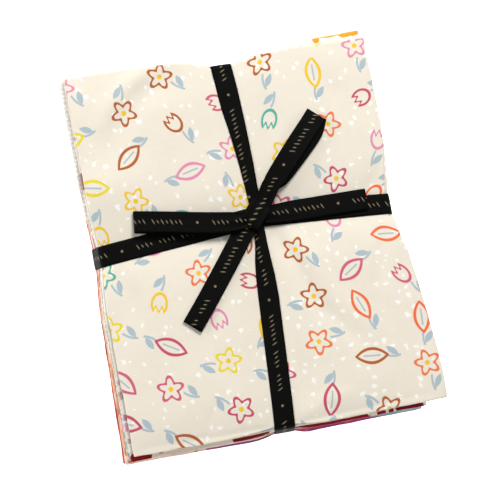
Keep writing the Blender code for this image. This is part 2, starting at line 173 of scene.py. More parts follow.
# Soft creases in the top cloth: (height, width, points in plan). A trough has a height below zero.
CREASES = (
    (1.9, 5.5, ((-30, 116), (-44, 113), (-56, 107), (-66, 98), (-76, 86))),
    (-1.1, 6.5, ((-24, 104), (-38, 102), (-49, 96), (-60, 86), (-70, 72))),
    (2.1, 13.0, ((-99, 46), (-80, 45), (-58, 50))),
    (-1.5, 4.4, ((12, 4), (20, -8), (26, -20), (30, -36))),
    (1.1, 5.0, ((22, 6), (29, -5), (35, -16), (40, -30))),
    (-0.9, 5.0, ((24, -26), (32, -42), (43, -57), (56, -72))),
    (0.8, 6.0, ((34, -24), (42, -38), (52, -50), (64, -64))),
    (-1.6, 9.0, ((14, -68), (15, -88), (13, -106))),
    (0.9, 4.0, ((14, -107), (28, -102), (44, -100))),
    (-1.2, 6.0, ((-86, -6), (-77, -20), (-75, -44))),
    (0.7, 7.0, ((62, 2), (69, -16), (70, -38))),
    (-0.8, 4.0, ((84, -8), (77, -19), (73, -36))),
    (-1.0, 4.5, ((74, 14), (81, 24), (87, 36))),
    (-0.9, 6.0, ((58, 100), (66, 82), (64, 60))),
    (-0.5, 3.0, ((-48, -112), (-42, -99), (-34, -88))),
    (-0.9, 6.0, ((-30, -34), (-37, -56), (-30, -78))),
    (-1.1, 5.5, ((18, 50), (25, 70), (23, 92))),
    (-0.5, 1.5, ((-88, -111.4), (-40, -111.9), (20, -111.6), (92, -108.2))),
    (-0.7, 13.0, ((-96, -116), (-50, -118), (-6, -116))),
    (-1.5, 12.0, ((-94, -70), (-95, -40), (-94, -14))),
    (-2.2, 12.0, ((-98, 122), (-84, 120))),
)
CREASE_DEPTH = 10.0  # how deep into the stack a crease is felt
CREASE_FADE = 7.0  # how far from the ribbon a crease is back at its full height
CREASE_ENDS = 0.12  # how much of half a sine is cut off at each end


# The stack's shape


def lengthwise_x(y, up=1.0):
    """The lengthwise ribbon's middle line, for up from 0 under the stack to 1 on top of it."""
    under, over = (np.interp(y, (FRONT, KNOT[1], BACK), row) for row in LENGTHWISE_X)
    return under + (over - under) * up


def cross_y(x, up=1.0):
    """The cross ribbon's middle line, in the same way."""
    under, over = (np.interp(x, (LEFT, KNOT[0], RIGHT), row) for row in CROSS_Y)
    return under + (over - under) * up


def fading(distance, flat, reach, power):
    """1 within flat of a line, and down to 0 at the end of the reach."""
    return (1 - np.clip((np.abs(distance) - flat) / reach, 0, 1)) ** power


def shares(to_ribbon, to_edge):
    """How much a place belongs to the edge, the open pad and the ribbon."""
    ribbon = fading(to_ribbon, PRESS_FLAT, PRESS_REACH, PRESS_POWER)
    edge = fading(to_edge, 0, EDGE_REACH, EDGE_POWER)
    return np.stack([edge, 1 - edge - ribbon, ribbon])


def blended(table, x, y, up=1.0):
    """A table's heights, shared out by how much a place belongs to edge, pad and ribbon both ways."""
    across = shares(x - lengthwise_x(y, up), np.minimum(x - LEFT, RIGHT - x))
    along = shares(y - cross_y(x, up), np.minimum(y - FRONT, BACK - y))
    return np.einsum("i...,j...,ij->...", across, along, table)


def distance_to_path(x, y, points):
    """The distance in plan to a bent line, and 0 to 1 along it."""
    best = np.full(np.shape(x), np.inf)
    place = np.zeros(np.shape(x))
    for i, ((x0, y0), (x1, y1)) in enumerate(zip(points, points[1:])):
        run = (x1 - x0, y1 - y0)
        share = ((x - x0) * run[0] + (y - y0) * run[1]) / (run[0] ** 2 + run[1] ** 2)
        share = np.clip(share, 0, 1)
        distance = np.hypot(x - x0 - share * run[0], y - y0 - share * run[1])
        nearer = distance < best
        place = np.where(nearer, (i + share) / (len(points) - 1), place)
        best = np.where(nearer, distance, best)
    return best, place


def creased(x, y):
    """The top cloth's soft troughs and ridges, each fading towards its ends and towards the ribbon."""
    total = np.zeros(np.shape(x))
    to_ribbon = np.minimum(np.abs(x - lengthwise_x(y)), np.abs(y - cross_y(x)))
    for height, width, points in CREASES:
        distance, place = distance_to_path(x, y, points)
        ends = np.sin(np.pi * (CREASE_ENDS + (1 - 2 * CREASE_ENDS) * place))
        total += height * np.exp(-((distance / width) ** 2)) * ends
    return total * np.clip((to_ribbon - RIBBON_WIDTH / 2) / CREASE_FADE, 0, 1)


def cloth_top(x, y, up=1.0):
    return STACK_HEIGHT + blended(TOP_RISE, x, y, up)


def squeezed(x, y, height):
    """A height in the flat, even stack, brought between the tied stack's underside and top."""
    up = height / STACK_HEIGHT
    low, high = blended(UNDER_LIFT, x, y, up), cloth_top(x, y, up)
    felt = np.clip((height - STACK_HEIGHT + CREASE_DEPTH) / CREASE_DEPTH, 0, 1)
    crease = creased(x, y) if np.any(felt > 0) else 0.0
    return low + (high - low) * up + felt * crease


def pull(side, distance, up):
    """How much an edge follows the ribbon pulled over it, at a distance along the edge and a height."""
    before, after = PULL_REACH[side]
    spread = 1 + FRONT_SPREAD * up**SPREAD_POWER * (side == "front")
    return fading(distance, PULL_FLAT, np.where(distance < 0, before, after) * spread, PULL_POWER)


def rounded_corner(height):
    """How far the pulled ribbon presses the stack in near its upper and lower corners."""
    total = 0.0
    for depth, radius in ((STACK_HEIGHT - height, CORNER_TOP), (height, CORNER_UNDER)):
        rest = np.clip(radius - depth, 0, radius)
        total += radius - np.sqrt(radius**2 - rest**2)
    return total


def wave(places, seed, longest, height):
    """A soft, repeatable unevenness: three sines, each shorter and lower than the last."""
    draw = np.random.default_rng(seed)
    total = 0.0
    for step in (1.0, 2.3, 4.7):
        total = total + np.sin(2 * np.pi * places * step / longest + draw.uniform(0, 2 * np.pi)) / step
    return height * total


# The cloth


def spaced(start, end, ribbon, finest, coarsest):
    """Shares of the way from start to end, closer together by the two edges and the ribbon's two sides."""
    busy = (start, end, ribbon - PRESS_FLAT, ribbon + PRESS_FLAT)
    places = [start]
    while places[-1] < end:
        nearest = min(abs(places[-1] - b) for b in busy)
        places.append(places[-1] + min(finest + GRID_GROWTH * nearest, coarsest))
    places = np.array(places) - start
    return places / places[-1]


def walked(line):
    """The length walked along a line, at each of its points."""
    return np.concatenate([[0], np.cumsum(np.linalg.norm(np.diff(line, axis=0), axis=1))])


def fold_section(runs):
    """The back-and-forth line of the folded thirds, as stations across the bundle.

    Each station holds its share of the width, its layer, its step out of the fold, its height in the piece
    and the direction (across, up) from one ply of the double layer to the other.
    """
    radius = LAYER_PITCH / 2
    rows = []
    for layer, shares_across in enumerate(runs):
        way = (1, -1)[layer % 2]
        middle = layer * LAYER_PITCH + LAYER / 2
        rows += [(share, layer, 0.0, middle, 0.0, way) for share in shares_across[::way]]
        if layer == THIRDS - 1:
            break
        for step in range(1, THIRDS_FOLD_STEPS):
            turned = step / THIRDS_FOLD_STEPS
            out, up = np.cos(np.pi * (turned - 0.5)), np.sin(np.pi * (turned - 0.5))
            place = ((way + 1) / 2, layer + turned, way * radius * out, middle + radius * (1 + up))
            rows.append((*place, -out, -way * up))
    return dict(zip(("share", "layer", "out", "height", "across", "up"), np.array(rows).T))


def drawn_in(side, edge, distance, height):
    """An edge once the tie has drawn it in, and the share of it that stays free."""
    tied = pull(side, distance, height / STACK_HEIGHT)
    inward = 1 if side in ("left", "front") else -1
    return edge + (PULLED[side] - edge) * tied + inward * rounded_corner(height) * tied**2, 1 - tied


def side_edges(piece, y, height):
    """The left and right outer edges of a piece, each with the share of it that stays free."""
    turned = piece["turn"] * y / BACK
    splay = piece["splay"] * np.sin(np.pi / 2 * np.clip((SPLAY_START - y) / SPLAY_REACH, 0, 1))
    left = LEFT - piece["left"] + turned
    right = RIGHT + piece["right"] + turned + splay
    up = height / STACK_HEIGHT
    return (
        *drawn_in("left", left, y - cross_y(LEFT, up), height),
        *drawn_in("right", right, y - cross_y(RIGHT, up), height),
    )


def end_edges(piece, x, height):
    """The front and back outer edges of a piece, in the same way."""
    front = FRONT - piece["front"] + piece["skew"] * x / RIGHT
    front = front + SPLAY_LIFT * piece["splay"] * np.maximum(x / RIGHT, 0)
    slip = piece["slip"] * np.clip((x - SLIP_START) / SLIP_REACH, 0, 1) ** SLIP_POWER
    back = BACK + piece["back"] + piece["turn"] * x / RIGHT + slip
    up = height / STACK_HEIGHT
    return (
        *drawn_in("front", front, x - lengthwise_x(FRONT, up), height),
        *drawn_in("back", back, x - lengthwise_x(BACK, up), height),
    )


def folded_cloth(piece, base, seed, runs, lengths):
    """The middle surface of one folded fat quarter, as a grid of points: (stations across, stations along).

    Along the grid's second way one ply runs from the back to the half fold at the front, and the other back.
    """
    section = {key: values[:, None] for key, values in fold_section(runs).items()}
    angles = np.pi * (np.arange(1, HALF_FOLD_STEPS) / HALF_FOLD_STEPS - 0.5)
    none, flat, full = np.zeros_like(angles), np.zeros_like(lengths), np.ones_like(lengths)
    share_along = np.concatenate([lengths[::-1], none, lengths])
    ply = np.concatenate([flat, none, full])
    from_middle = np.concatenate([-full, np.sin(angles), full]) * PLY_SPACING / 2
    bulge = np.concatenate([flat, np.cos(angles), flat]) * PLY_SPACING / 2

    draw = np.random.default_rng(seed)
    cut_inset = draw.uniform(*CUT_SIDE_INSET, 2)
    left_slack, right_slack, *slacks = draw.uniform(0.0, FOLD_SLACK, 2 + THIRDS)
    layer = section["layer"]
    layer_slack = np.interp(layer, range(THIRDS), slacks)
    fold_inset = (LAYER_PITCH + PLY_SPACING + PLY) / 2
    height = base + section["height"]

    def loose(places, number, size):
        return wave(places, seed * 10 + number, WAVE_LENGTH, size)

    y = FRONT + FOLDED_LENGTH * share_along
    # The side edges are found from y and the end edges from x, so a second round settles both.
    for _ in range(2):
        left, left_free, right, right_free = side_edges(piece, y, height)
        left_cut = cut_inset[0] + loose(y, 1, SIDE_WAVE)
        right_cut = cut_inset[1] + loose(y, 2, SIDE_WAVE)
        left = left + np.where(layer == 0, left_cut, fold_inset + left_free * left_slack)
        left = left + left_free * np.abs(loose(y, 3, FOLD_WAVE))
        right = right - np.where(layer == THIRDS - 1, right_cut, fold_inset + right_free * right_slack)
        right = right - right_free * np.abs(loose(y, 4, FOLD_WAVE))
        x = left + (right - left) * section["share"]
        front, front_free, back, back_free = end_edges(piece, x, height)
        front_wave = np.abs(loose(x + FRONT_SHIFT * layer, 5, FOLD_WAVE))
        back_wave = np.abs(loose(x + BACK_SHIFT * layer + PLY_SHIFT * ply, 6, BACK_WAVE))
        front = front + (PLY_SPACING + PLY) / 2 + front_free * (layer_slack + front_wave)
        back = back - back_free * (CUT_BACK_INSET + PLY_STEP * ply + layer_slack + back_wave)
        y = front + (back - front) * share_along
    x = x + section["out"] + section["across"] * from_middle
    height = height + section["up"] * from_middle
    x, y, height = np.broadcast_arrays(x, y - bulge, height)
    return np.stack([x, y, squeezed(x, y, height)], axis=-1)


def fat_quarter(name, piece, number, material):
    """One folded fat quarter, with a finer grid where the top one shows its face."""
    top = number == len(PIECES) - 1
    run = spaced(LEFT, RIGHT, KNOT[0], *LAYER_GRID["across"])
    top_run = spaced(LEFT, RIGHT, KNOT[0], *TOP_GRID["across"]) if top else run
    along = spaced(FRONT, BACK, KNOT[1], *(TOP_GRID if top else LAYER_GRID)["along"])
    points = folded_cloth(piece, number * PITCH, number + 1, (run, run, top_run), along)
    rows, columns = points.shape[:2]
    return add_cloth(
        name, points, PLY, material, walked(points[:, columns // 2]), walked(points[rows // 2])
    )


def add_cloth(name, points, thickness, material, lengths, widths, closed=False):
    """A cloth of real thickness round a grid of points, with a UV map in metres of the flat cloth.

    lengths and widths are the flat cloth's own, along the grid's two ways. The attribute right_side is 1 on
    the face that the grid's normals point to, which is the printed one, and 0 on the other.
    """
    rows, columns = points.shape[:2]
    if closed:
        ring = np.concatenate([points[-1:], points, points[:1]])
        way = np.gradient(ring, axis=0)[1:-1]
    else:
        way = np.gradient(points, axis=0)
    normals = np.cross(way, np.gradient(points, axis=1))
    normals /= np.linalg.norm(normals, axis=-1, keepdims=True)
    vertices = np.concatenate([(points + side * normals * thickness / 2).reshape(-1, 3) for side in (1, -1)])
    index = np.arange(rows * columns).reshape(rows, columns)
    over = np.concatenate([index, index[:1]]) if closed else index
    under = over + rows * columns

    def quads(a, b, c, d):
        return np.stack([a, b, c, d], axis=-1).reshape(-1, 4)

    skin = quads(over[:-1, :-1], over[1:, :-1], over[1:, 1:], over[:-1, 1:])
    lining = quads(under[:-1, 1:], under[1:, 1:], under[1:, :-1], under[:-1, :-1])
    rims = [
        quads(over[:-1, 0], under[:-1, 0], under[1:, 0], over[1:, 0]),
        quads(over[1:, -1], under[1:, -1], under[:-1, -1], over[:-1, -1]),
    ]
    if not closed:
        rims.append(quads(over[0, 1:], under[0, 1:], under[0, :-1], over[0, :-1]))
        rims.append(quads(over[-1, :-1], under[-1, :-1], under[-1, 1:], over[-1, 1:]))
    faces = np.concatenate([skin, lining, *rims])
    mesh = add_mesh(name, vertices, faces, material)
    smooth = np.ones(len(faces), bool)
    smooth[len(skin) + len(lining) :] = False
    mesh.data.polygons.foreach_set("use_smooth", smooth)
    flat = np.stack(np.broadcast_arrays(lengths[:, None], widths), axis=-1).reshape(-1, 2) * MM
    uv_layer = mesh.data.uv_layers.new(name="flat_cloth")
    corners = np.zeros(len(mesh.data.loops), int)
    mesh.data.loops.foreach_get("vertex_index", corners)
    uv_layer.data.foreach_set("uv", np.concatenate([flat, flat])[corners].ravel())
    right_side = mesh.data.attributes.new("right_side", "FLOAT", "POINT")
    right_side.data.foreach_set("value", np.repeat([1.0, 0.0], rows * columns))
    return mesh


def add_mesh(name, vertices, faces, material):
    mesh = bpy.data.meshes.new(name)
    mesh.from_pydata(((vertices + STACK_PLACE) * MM).tolist(), [], faces.tolist())
    mesh.materials.append(material)
    return add_object(name, mesh)


def add_object(name, data):
    item = bpy.data.objects.new(name, data)
    bpy.context.scene.collection.objects.link(item)
    return item


# The ribbon


def through(rows, steps):
    """A smooth curve through rows of numbers, with the same count of steps between each two."""
    rows = np.asarray(rows, float)
    padded = np.concatenate([2 * rows[:1] - rows[1:2], rows, 2 * rows[-1:] - rows[-2:-1]])
    curve = []
    for before, start, end, after in zip(padded, padded[1:], padded[2:], padded[3:]):
        step, leaving, arriving = end - start, end - before, after - start
        for t in np.arange(steps) / steps:
            bend = leaving + (6 * step - 2 * leaving - arriving) * t + (leaving + arriving - 4 * step) * t**2
            curve.append(start + bend * t / 2)
    return np.array([*curve, rows[-1]])


def ribbon_grid(middles, aside, ups, widths, crowns, columns):
    """A ribbon's grid, from its middle line, its unit ways aside and up, its widths and its crowns."""
    across = np.linspace(-0.5, 0.5, columns)
    rise = crowns[:, None] * (1 - (2 * across) ** 2)
    offset = aside * (across * widths[:, None])[:, :, None]
    return middles[:, None] + offset + ups[:, None] * rise[:, :, None]


CORNER_STEPS = 6
BAND_STEP = 2.4
WALL_POINTS = 8
UNDER_SKIP = 4  # a step below the stack is as long as four on top
BAND_COLUMNS = 9
BAND_CROWN = 0.12  # and as much again for each millimetre that the ribbon is drawn in


def arc(centre, radius, start, end):
    """Points of an arc in a (distance along, height) plane, with its angles in degrees."""
    angles = np.radians(np.linspace(start, end, CORNER_STEPS + 1))
    return np.stack([centre[0] + radius * np.cos(angles), centre[1] + radius * np.sin(angles)], axis=-1)


def band_path(near, far, top):
    """The middle line of a ribbon pulled round the stack: up the near wall, over the top and back below."""
    near, far = near - RIBBON_OUT, far + RIBBON_OUT
    places = np.arange(near + CORNER_TOP, far - CORNER_TOP + BAND_STEP, BAND_STEP)
    places[-1] = far - CORNER_TOP
    heights = top(places) + RIBBON_OUT
    low = RIBBON_FOOT + CORNER_UNDER
    near_wall, far_wall = (np.linspace(low, heights[i] - CORNER_TOP, WALL_POINTS) for i in (0, -1))
    under = places[::-UNDER_SKIP]
    return np.concatenate(
        [
            np.stack([np.full(WALL_POINTS, near), near_wall], axis=-1),
            arc((near + CORNER_TOP, heights[0] - CORNER_TOP), CORNER_TOP, 180, 90)[1:-1],
            np.stack([places, heights], axis=-1),
            arc((far - CORNER_TOP, heights[-1] - CORNER_TOP), CORNER_TOP, 90, 0)[1:-1],
            np.stack([np.full(WALL_POINTS, far), far_wall[::-1]], axis=-1),
            arc((far - CORNER_UNDER, low), CORNER_UNDER, 0, -90)[1:],
            np.stack([under, np.full(len(under), RIBBON_FOOT)], axis=-1)[1:-1],
            arc((near + CORNER_UNDER, low), CORNER_UNDER, -90, -180)[:-1],
        ]
    )


def leaning(height):
    """0 at the ribbon's foot and 1 where it comes over the stack's edge."""
    return min(max(height / (STACK_HEIGHT + TOP_RISE[0, 2]), 0), 1)


def band(name, path, to_world, aside, material, widths=RIBBON_WIDTH):
    """A closed ribbon round the stack, from its path in a (distance along, height) plane."""
    middles = np.array([to_world(*place) for place in path])
    ring = np.concatenate([path[-1:], path, path[:1]])
    way = ring[2:] - ring[:-2]
    way /= np.linalg.norm(way, axis=1, keepdims=True)
    along = np.array(to_world(1, 0)) - np.array(to_world(0, 0))
    along /= np.linalg.norm(along)
    ups = -way[:, 1:] * along + way[:, :1] * UP
    widths = np.broadcast_to(widths, len(path))
    crowns = BAND_CROWN * (1 + RIBBON_WIDTH - widths)
    points = ribbon_grid(middles, aside, ups, widths, crowns, BAND_COLUMNS)
    across = np.linspace(0, 1, BAND_COLUMNS) * widths[:, None]
    return add_cloth(name, points, RIBBON_PLY, material, walked(middles), across, closed=True)


# The lengthwise band draws in on its way to the knot: a place along it, its shift to the right and its width.
LENGTHWISE_WAIST = (
    (-35.0, 0.1, 12.6),
    (-22.0, -0.2, 11.6),
    (-12.0, -0.4, 9.8),
    (-3.0, -0.2, 7.4),
    (8.0, -0.3, 6.6),
    (22.0, 0.1, 7.0),
    (36.0, 0.3, 7.8),
    (48.0, 0.55, 8.9),
    (60.0, 0.55, 9.9),
    (71.0, 0.45, 11.0),
    (82.0, 0.0, 12.3),
    (90.0, 0.0, 12.7),
)


def lengthwise_ribbon(material):
    def top(y):
        return cloth_top(lengthwise_x(y), y) + RIBBON_LIFT

    along, shifts, widths = np.array(LENGTHWISE_WAIST).T
    path = band_path(PULLED["front"], PULLED["back"], top)
    above = path[:, 1] > STACK_HEIGHT / 2
    widths = np.where(above, np.interp(path[:, 0], along, widths), RIBBON_WIDTH)

    def to_world(y, z):
        shift = np.interp(y, along, shifts) if z > STACK_HEIGHT / 2 else 0.0
        return float(lengthwise_x(y, leaning(z)) + shift), y, z

    return band("ribbon_lengthwise_band", path, to_world, np.array([-1.0, 0, 0]), material, widths)


# How the cross band climbs over the lengthwise one: how high, and how far from the knot it is up and down.
CLIMB = RIBBON_PLY + 0.25
CLIMB_ON_TOP = (RIBBON_WIDTH / 2 + 1.0, 7.0)
CLIMB_BELOW = (RIBBON_WIDTH / 2 + 2.0, 12.0)
CLIMB_POWER = 2.0


def cross_ribbon(material):
    """This band climbs over the lengthwise one on top, and lies above it below the stack."""

    def climb(x, flat, reach):
        return CLIMB * fading(x - KNOT[0], flat, reach, CLIMB_POWER)

    def top(x):
        return cloth_top(x, cross_y(x)) + RIBBON_LIFT + climb(x, *CLIMB_ON_TOP)

    def to_world(x, z):
        return x, float(cross_y(x, leaning(z))), z

    path = band_path(PULLED["left"], PULLED["right"], top)
    below = path[:, 1] < RIBBON_PLY
    path[below, 1] += climb(path[below, 0], *CLIMB_BELOW)
    return band("ribbon_cross_band", path, to_world, np.array([0, 1.0, 0]), material)


# The bow. along is the way out from the knot, aside a shift to the left of it, rise the lower layer's height
# above the cloth, gap the clear height inside a loop, fan its lower layer's shift to the right, and pleat the
# height of the pleats that gather the ribbon into the knot.
LOOP_COLUMNS = ("along", "aside", "rise", "gap", "width", "fan", "pleat")
LEFT_LOOP_ANGLE = 174.0
LEFT_LOOP = (
    (4.2, 1.6, 4.2, 1.6, 8.4, 0.0, 0.7),
    (7.9, 2.4, 4.5, 1.7, 9.6, 0.0, 0.6),
    (15.0, 3.1, 4.1, 2.4, 11.4, -0.4, 0.3),
    (25.0, 3.1, 2.5, 3.4, 12.5, -0.7, 0.1),
    (36.6, 2.5, 1.9, 3.6, 12.7, -0.7, 0.0),
    (58.0, 0.9, 1.5, 2.8, 12.7, -0.7, 0.0),
    (74.0, -0.2, 1.2, 1.5, 12.7, -0.6, 0.0),
)
RIGHT_LOOP_ANGLE = 50.0
RIGHT_LOOP = (
    (4.0, 0.8, 4.2, 1.6, 10.0, 0.0, 0.6),
    (7.2, 0.9, 4.5, 1.7, 10.4, 0.0, 0.5),
    (15.0, 1.8, 4.2, 2.2, 10.6, 0.0, 0.3),
    (21.0, 2.3, 3.3, 2.9, 10.9, 0.2, 0.15),
    (27.0, 2.1, 2.5, 3.4, 12.0, 2.0, 0.1),
    (42.0, 1.5, 1.6, 3.7, 12.7, 3.2, 0.0),
    (60.0, 0.6, 1.4, 2.7, 12.7, 4.0, 0.0),
    (67.0, 0.2, 1.3, 2.0, 12.7, 2.9, 0.0),
    (72.2, 0.0, 1.2, 1.5, 12.7, 1.2, 0.0),
)
TAIL_COLUMNS = ("along", "aside", "rise", "width", "pleat")
LOWER_TAIL_ANGLE = 229.6
LOWER_TAIL = (
    (4.2, -1.4, 4.6, 11.6, 0.3),
    (7.0, -1.6, 4.4, 12.0, 0.3),
    (14.0, -2.0, 3.4, 12.5, 0.2),
    (24.0, -1.6, 2.2, 12.7, 0.1),
    (40.0, -0.9, 1.2, 12.7, 0.0),
    (60.0, -0.25, 1.0, 12.7, 0.0),
    (78.8, 0.0, 1.1, 12.7, 0.0),
)
RIGHT_TAIL_ANGLE = 0.0
RIGHT_TAIL = (
    (4.2, 0.0, 3.6, 9.6, 0.6),
    (7.6, 0.0, 3.4, 10.4, 0.5),
    (14.0, 0.0, 3.0, 11.6, 0.3),
    (23.0, 0.0, 2.1, 12.6, 0.1),
    (35.6, 0.0, 1.8, 12.7, 0.0),
    (52.0, 0.1, 1.7, 12.7, 0.0),
    (68.6, 0.1, 1.9, 12.7, 0.0),
)
BOW_STEPS = 7  # steps between each two rows of a table
BOW_COLUMNS = 13
BOW_CROWN = 0.15
LOOP_TURN_STEPS = 8
PLEATS = 1.5  # across the ribbon's width

# The knot's strap: half its sizes along and across it, the way it points, and how far it lies to the left of
# the crossing, above the cloth and from its foot to its top.
KNOT_HALF = (8.4, 6.4)
KNOT_ANGLE = 49.6
KNOT_ASIDE = 1.6
KNOT_FOOT, KNOT_HEIGHT = 3.2, 4.8
KNOT_SQUARENESS = 3.0  # 2 would be an ellipse in section
KNOT_DRAWN = 0.10  # how much smaller the strap is at its edges
KNOT_DRAWN_POWER = 4  # and how fast that is lost towards its middle line
KNOT_PLEATS = 2.2  # across the strap's width
KNOT_PLEAT_HEIGHT = 0.24
KNOT_PLEAT_START = 0.6  # the angle of the wave of pleats at the strap's middle line
KNOT_LENGTH = 38.0
KNOT_GRID = (40, 17)


def headings(angle):
    """The way out from the knot, and the way to the left of it."""
    turn = math.radians(angle)
    return np.array([math.cos(turn), math.sin(turn), 0]), np.array([-math.sin(turn), math.cos(turn), 0])


def bow_line(angle, table, height):
    """The middle line of one layer of the bow, through a table's stations."""
    way, left = headings(angle)
    spots = np.array([[*KNOT, 0.0]]) + table["along"][:, None] * way + table["aside"][:, None] * left
    spots[:, 2] = cloth_top(spots[:, 0], spots[:, 1]) + height
    return spots


def bow_piece(name, middles, aside, ups, widths, pleats, material):
    """A ribbon of the bow, gathered into soft pleats where it enters the knot."""
    crowns = np.full(len(middles), BOW_CROWN)
    points = ribbon_grid(middles, aside, ups, widths, crowns, BOW_COLUMNS)
    folds = np.cos(2 * np.pi * PLEATS * np.linspace(-0.5, 0.5, BOW_COLUMNS))
    points += ups[:, None] * (pleats[:, None] * folds)[:, :, None]
    across = np.linspace(0, RIBBON_WIDTH, BOW_COLUMNS)
    return add_cloth(name, points, RIBBON_PLY, material, walked(middles), across)


def stations(columns, rows):
    """A table's columns by name, with smooth steps between its rows."""
    return dict(zip(columns, through(rows, BOW_STEPS).T))


def tail(name, angle, rows, material):
    table = stations(TAIL_COLUMNS, rows)
    middles = bow_line(angle, table, table["rise"] + RIBBON_PLY / 2)
    ups = np.tile(UP, (len(middles), 1))
    return bow_piece(name, middles, headings(angle)[1], ups, table["width"], table["pleat"], material)


def loop(name, angle, rows, material):
    """A flattened loop: the lower layer goes out, turns up at the end, and comes back above itself."""
    table = stations(LOOP_COLUMNS, rows)
    way, left = headings(angle)
    lower = bow_line(angle, table, table["rise"] + RIBBON_PLY / 2)
    upper = lower + UP * (table["gap"] + RIBBON_PLY)[:, None]
    lower = lower - table["fan"][:, None] * left
    below, above = lower[-1], upper[-1]
    radius = (above[2] - below[2]) / 2
    angles = np.pi * (np.arange(1, LOOP_TURN_STEPS) / LOOP_TURN_STEPS - 0.5)
    out, rise = np.cos(angles)[:, None], np.sin(angles)[:, None]
    turn = below + (above - below) * (rise + 1) / 2 + way * out * radius
    middles = np.concatenate([lower, turn, upper[::-1]])
    flat_ups = np.tile(UP, (len(lower), 1))
    ups = np.concatenate([flat_ups, -(way * out + UP * rise), -flat_ups])
    widths = np.concatenate([table["width"], np.full(len(turn), RIBBON_WIDTH), table["width"][::-1]])
    pleats = np.concatenate([table["pleat"], np.zeros(len(turn)), -table["pleat"][::-1]])
    return bow_piece(name, middles, -left, ups, widths, pleats, material)


def knot(material):
    """A strap of ribbon wrapped over the middle of the bow, with soft pleats and drawn-in edges."""
    way, left = headings(KNOT_ANGLE)
    turns = np.linspace(0, 2 * np.pi, KNOT_GRID[0], endpoint=False)
    across = np.linspace(-1, 1, KNOT_GRID[1])
    power = KNOT_SQUARENESS
    reach = (np.abs(np.cos(turns)) ** power + np.abs(np.sin(turns)) ** power) ** (-1 / power)
    out, up = (reach * np.cos(turns))[:, None], (reach * np.sin(turns))[:, None]
    drawn = 1 - KNOT_DRAWN * np.abs(across) ** KNOT_DRAWN_POWER
    pleats = KNOT_PLEAT_HEIGHT * np.cos(np.pi * KNOT_PLEATS * across + KNOT_PLEAT_START)
    along = (KNOT_HALF[0] * drawn + pleats) * out
    rise = KNOT_HEIGHT / 2 * drawn * up + pleats * np.maximum(up, 0)
    aside = KNOT_ASIDE + across * KNOT_HALF[1]
    middles = np.array([*KNOT, 0.0]) + along[:, :, None] * way + aside[None, :, None] * left
    middles[:, :, 2] = cloth_top(*KNOT) + KNOT_FOOT + KNOT_HEIGHT / 2 + rise
    lengths = np.linspace(0, KNOT_LENGTH, len(turns))
    widths = np.linspace(0, RIBBON_WIDTH, len(across))
    return add_cloth("bow_knot_strap", middles[::-1], RIBBON_PLY, material, lengths, widths, closed=True)


# Materials


def linear(hex_colour):
    """A hex sRGB colour as linear RGBA."""
    parts = [int(hex_colour[i : i + 2], 16) / 255 for i in (1, 3, 5)]
    return [p / 12.92 if p <= 0.04045 else ((p + 0.055) / 1.055) ** 2.4 for p in parts] + [1.0]


def new_material(name):
    material = bpy.data.materials.new(name)
    material.use_nodes = True
    return material, material.node_tree, material.node_tree.nodes["Principled BSDF"]


def fill(tree, node, *inputs):
    """Fills a node's sockets, in order or by name as pairs, from other nodes' sockets or with values."""
    for place, value in enumerate(inputs):
        key, value = value if isinstance(value, tuple) else (place, value)
        if isinstance(value, bpy.types.NodeSocket):
            tree.links.new(value, node.inputs[key])
        else:
            node.inputs[key].default_value = value


def add(tree, kind, *inputs, **settings):
    """Adds a shader node with its settings, and fills its sockets."""
    node = tree.nodes.new("ShaderNode" + kind)
    for key, value in settings.items():
        setattr(node, key, value)
    fill(tree, node, *inputs)
    return node


OPERATORS = {ast.Add: "ADD", ast.Sub: "SUBTRACT", ast.Mult: "MULTIPLY", ast.Div: "DIVIDE"}
FUNCTIONS = {
    "abs": "ABSOLUTE",
    "sin": "SINE",
    "cos": "COSINE",
    "sqrt": "SQRT",
    "floor": "FLOOR",
    "mod": "FLOORED_MODULO",
    "atan2": "ARCTAN2",
    "min": "MINIMUM",
    "max": "MAXIMUM",
    "above": "GREATER_THAN",
}


def formula(tree, text, **names):
    """Builds a written formula out of Math nodes. names are the sockets and numbers that it mentions."""

    def build(part):
        if isinstance(part, ast.Constant):
            return float(part.value)
        if isinstance(part, ast.Name):
            return names[part.id]
        if isinstance(part, ast.BinOp):
            sides = build(part.left), build(part.right)
            return add(tree, "Math", *sides, operation=OPERATORS[type(part.op)]).outputs[0]
        inputs = [build(argument) for argument in part.args]
        if part.func.id == "clamp":
            return add(tree, "Clamp", *inputs).outputs[0]
        return add(tree, "Math", *inputs, operation=FUNCTIONS[part.func.id]).outputs[0]

    return build(ast.parse(text).body[0].value)


def formulas(tree, names, **texts):
    """Adds the result of each written formula to the names, which the formulas after it may use."""
    for name, text in texts.items():
        names[name] = formula(tree, text, **names)
    return names


def flat_place(tree):
    """The place on the flat, unfolded cloth, in millimetres."""
    flat = add(tree, "UVMap", uv_map="flat_cloth")
    parts = add(tree, "SeparateXYZ", flat.outputs["UV"])
    return [formula(tree, "a * 1000", a=parts.outputs[axis]) for axis in ("X", "Y")]


